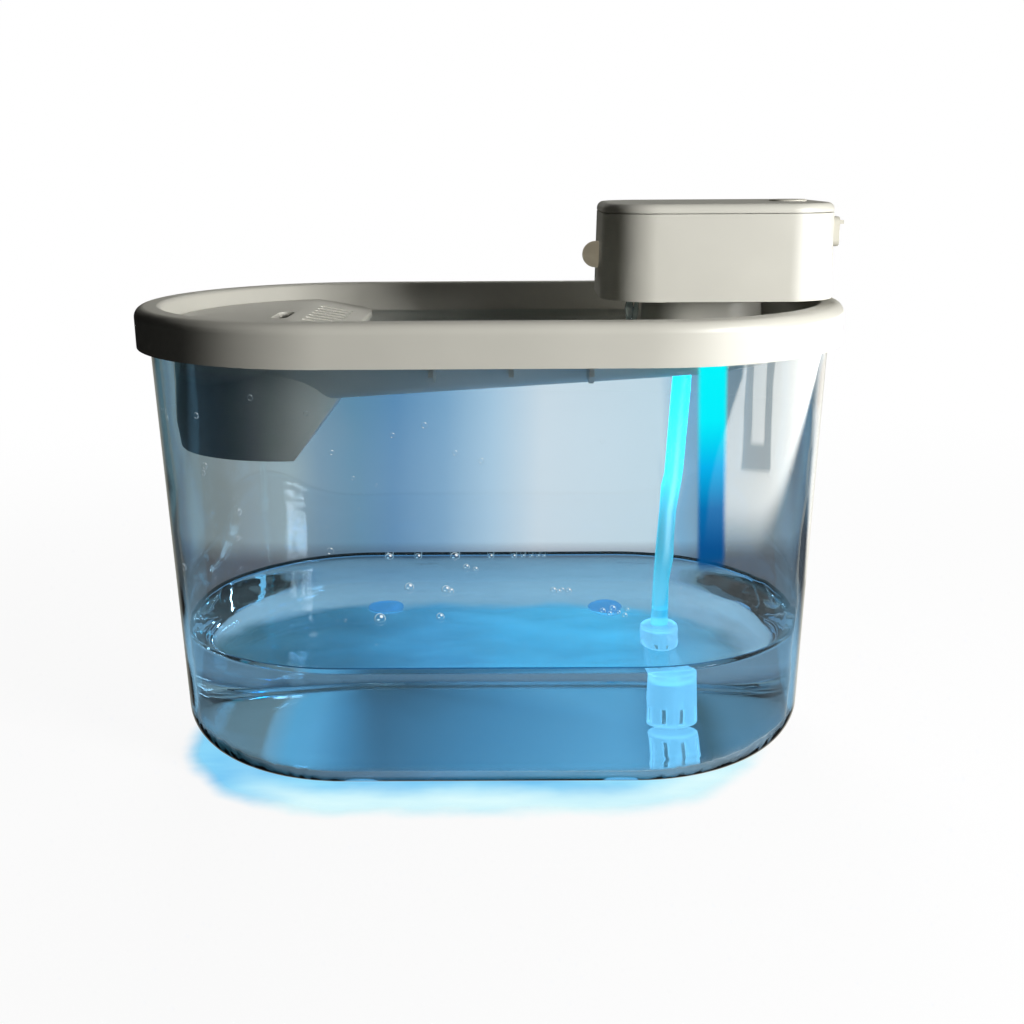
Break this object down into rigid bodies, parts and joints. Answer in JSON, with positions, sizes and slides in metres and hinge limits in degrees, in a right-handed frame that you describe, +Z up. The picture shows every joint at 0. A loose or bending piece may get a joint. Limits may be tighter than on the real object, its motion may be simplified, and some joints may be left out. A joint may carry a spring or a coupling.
{
  "type": "pet water fountain",
  "caption": "Pet water fountain: a stadium-shaped clear tank under a rimmed, sloping drinking tray with a filter pocket, and a battery head that pours from its underside.",
  "frame": {"origin": "on the table, under the middle of the tray's rim", "axes": "+X along the length towards the head, +Y to the back, away from the side a pet drinks from, +Z up"},
  "size_m": [0.25, 0.149, 0.1978],
  "materials": {
    "smoky_tank": "clear smoky moulded plastic",
    "grey_shell": "satin warm light grey moulded plastic",
    "grey_inner": "as moulded",
    "clear_silicone": "clear silicone",
    "filter_frame": "as moulded",
    "filter_media": "felt over carbon and resin grains",
    "grey_rubber": "soft moulded",
    "milky_lens": "milky, smooth",
    "light_lens": "clear, smooth",
    "hose": "translucent extruded silicone",
    "strainer": "translucent moulded plastic",
    "sponge": "open foam",
    "black_plastic": "as moulded",
    "white_acetal": "machined, waxy",
    "steel": "plated",
    "circuit_board": "solder mask",
    "dark_rubber": "moulded",
    "battery_wrap": "shrunk wrap"
  },
  "bodies": {
    "tank_body": {"tank": "smoky_tank", "foot_front_left": "clear_silicone", "foot_front_right": "clear_silicone", "foot_back_left": "clear_silicone", "foot_back_right": "clear_silicone"},
    "tray": {"drinking_tray": "grey_shell"},
    "cover": {"filter_cover": "grey_shell"},
    "cartridge": {"cartridge_frame": "filter_frame", "cartridge_media": "filter_media"},
    "head": {"head_shell": "grey_shell", "top_cap": "grey_shell", "base_plate": "grey_inner", "base_gasket": "dark_rubber", "base_screws": "steel", "port_cover_anchor": "grey_rubber", "sensor_lens": "milky_lens", "sensor_can": "steel", "sensor_board": "circuit_board", "control_board": "circuit_board", "board_screws": "steel", "tact_switch": "black_plastic", "usb_socket": "steel", "battery_cell": "battery_wrap", "battery_cradle": "black_plastic", "night_light_lens": "light_lens", "night_light_led": "milky_lens", "motor_can": "steel", "idler_pin": "steel", "pump_body": "black_plastic", "pump_plate": "black_plastic", "pump_gasket": "dark_rubber", "pump_screws": "steel", "shaft_seal": "dark_rubber", "suction_nipple": "black_plastic", "spout_nozzle": "grey_inner", "suction_hose": "hose", "strainer_cap": "strainer", "strainer_cup": "strainer", "strainer_sponge": "sponge"},
    "button": {"mode_button": "grey_shell"},
    "port_flap": {"port_cover": "grey_rubber"},
    "drive_rotor": {"motor_shaft": "steel", "drive_gear": "white_acetal"},
    "driven_rotor": {"driven_gear": "white_acetal"}
  },
  "joints": [
    {"name": "tray_lift", "type": "slide", "parent": "tank_body", "child": "tray", "axis": [0, 0, 1], "range_m": [0, 0.16]},
    {"name": "head_lift", "type": "slide", "parent": "tray", "child": "head", "axis": [0, 0, 1], "range_m": [0, 0.165]},
    {"name": "cover_lift", "type": "slide", "parent": "tray", "child": "cover", "axis": [0, 0, 1], "range_m": [0, 0.08]},
    {"name": "cartridge_lift", "type": "slide", "parent": "tray", "child": "cartridge", "axis": [0, 0, 1], "range_m": [0, 0.045]},
    {"name": "button_press", "type": "slide", "parent": "head", "child": "button", "axis": [0, 0, -1], "range_m": [0, 0.0006], "stiffness_N_per_m": 500, "springref_m": -0.0004},
    {"name": "port_cover_hinge", "type": "hinge", "parent": "head", "child": "port_flap", "pos_m": [0.11912, -0.0012, 0.1872], "axis": [0, 0, 1], "range_deg": [0, 95]},
    {"name": "drive_spin", "type": "hinge", "parent": "head", "child": "drive_rotor", "pos_m": [0.0615, -0.0063, 0.176], "axis": [0, 0, 1], "continuous": true},
    {"name": "driven_spin", "type": "hinge", "parent": "head", "child": "driven_rotor", "pos_m": [0.0615, 0.0063, 0.176], "axis": [0, 0, 1], "continuous": true}
  ],
  "couplings": [
    {"joint": "cartridge_lift", "follows": "cover_lift", "ratio": 0.55},
    {"joint": "driven_spin", "follows": "drive_spin", "ratio": -1}
  ]
}
